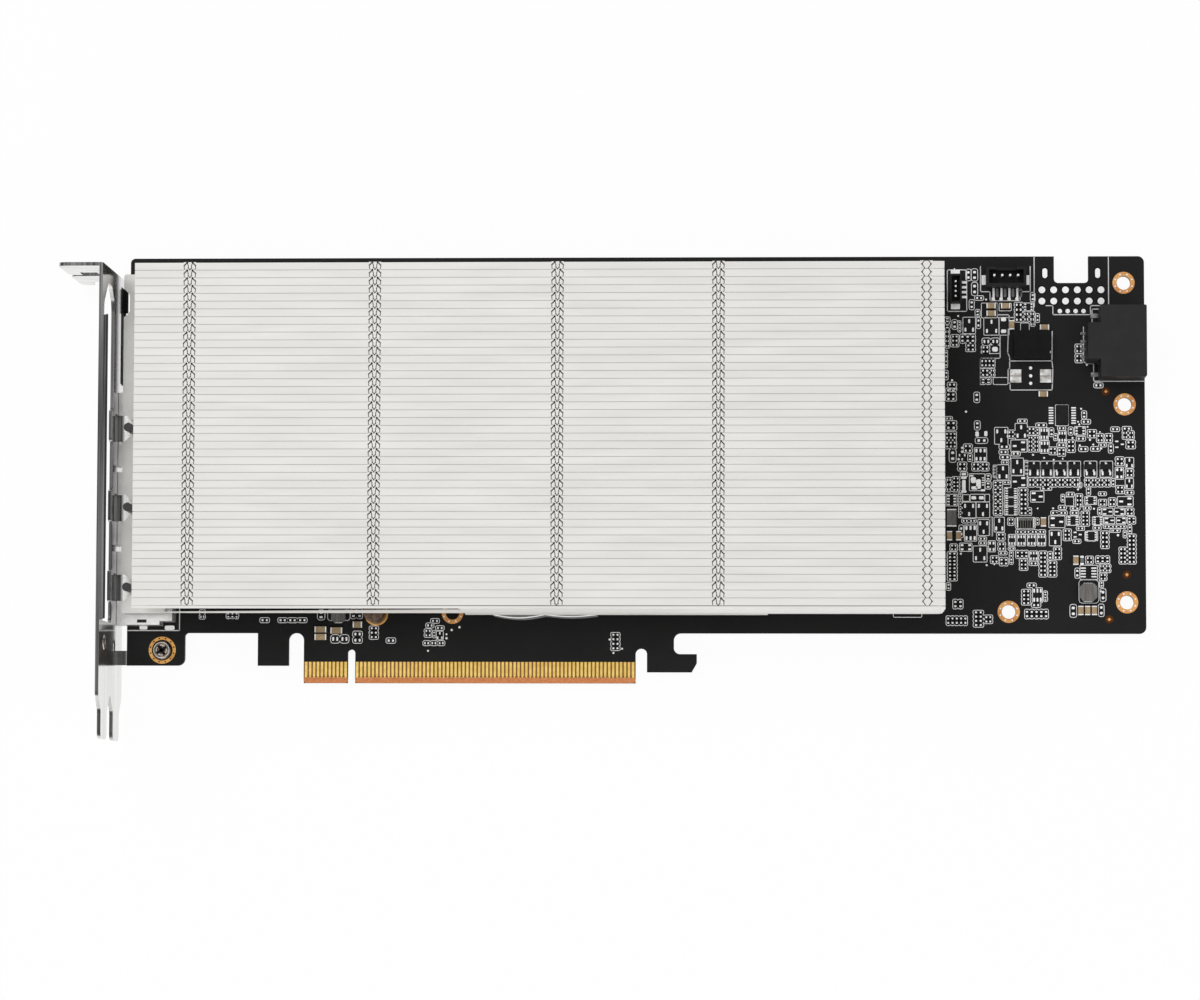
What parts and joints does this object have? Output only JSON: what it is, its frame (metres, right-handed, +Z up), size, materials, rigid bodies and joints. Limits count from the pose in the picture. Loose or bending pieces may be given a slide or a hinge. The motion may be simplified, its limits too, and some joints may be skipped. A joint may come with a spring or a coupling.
{
  "type": "passive accelerator card",
  "caption": "Plug-in accelerator card with a full-length folded-fin heatsink and no fan, a card edge, a two-slot vented bracket and a power socket at the free end.",
  "frame": {"origin": "under the middle of the card's bounding box, at its lowest point, with the card lying on its back-side screw heads", "axes": "+X along the card from the bracket to the power socket, +Y from the card edge to the top edge, +Z up out of the component side"},
  "size_m": [0.2714, 0.1234, 0.0389],
  "materials": {
    "board_mask": "black solder mask, low gloss",
    "gold": "gold plating",
    "bracket_plate": "bright nickel plate",
    "black_screw": "black oxide",
    "screw_steel": "nickel plate",
    "sink_metal": "soft matt mill finish",
    "shell_plate": "tin plate",
    "black_plastic": "moulded, fine matt",
    "tin": "reflowed tin",
    "ceramic_tan": "fired ceramic body",
    "ferrite": "pressed powder",
    "chip_epoxy": "mould compound",
    "thermal_pad": "soft filled silicone",
    "substrate": "laminate",
    "die_glass": "polished silicon"
  },
  "bodies": {
    "root": {"circuit_board": "board_mask", "mounting_rings": "gold", "edge_contacts_front": "gold", "edge_contacts_back": "gold", "bracket": "bracket_plate", "bracket_lug_posts": "black_screw", "bracket_foot_screw": "screw_steel", "base_standoff": "screw_steel", "heatsink_base": "sink_metal", "heatsink_screws": "screw_steel", "chip_screws": "screw_steel", "fin_stack": "sink_metal", "display_socket_shells": "shell_plate", "display_socket_tongues": "black_plastic", "power_pins": "gold", "sense_pins": "gold", "power_socket_housing": "black_plastic", "power_leads": "tin", "fan_header_housing": "black_plastic", "fan_header_pins": "tin", "header_hold_downs": "tin", "status_header_housing": "black_plastic", "status_header_pins": "tin", "ceramic_capacitors": "ceramic_tan", "capacitor_ends": "tin", "filter_coil": "ferrite", "small_coils": "ferrite", "small_coil_ends": "tin", "transistors": "chip_epoxy", "transistor_leads": "tin", "logic_chips": "chip_epoxy", "phase_coils": "ferrite", "power_stages": "chip_epoxy", "power_stage_pads": "thermal_pad", "processor_package": "substrate", "processor_solder_balls": "tin", "processor_die": "die_glass", "memory_chips": "chip_epoxy", "memory_pads": "thermal_pad", "edge_thermal_pad": "thermal_pad"}
  },
  "joints": []
}
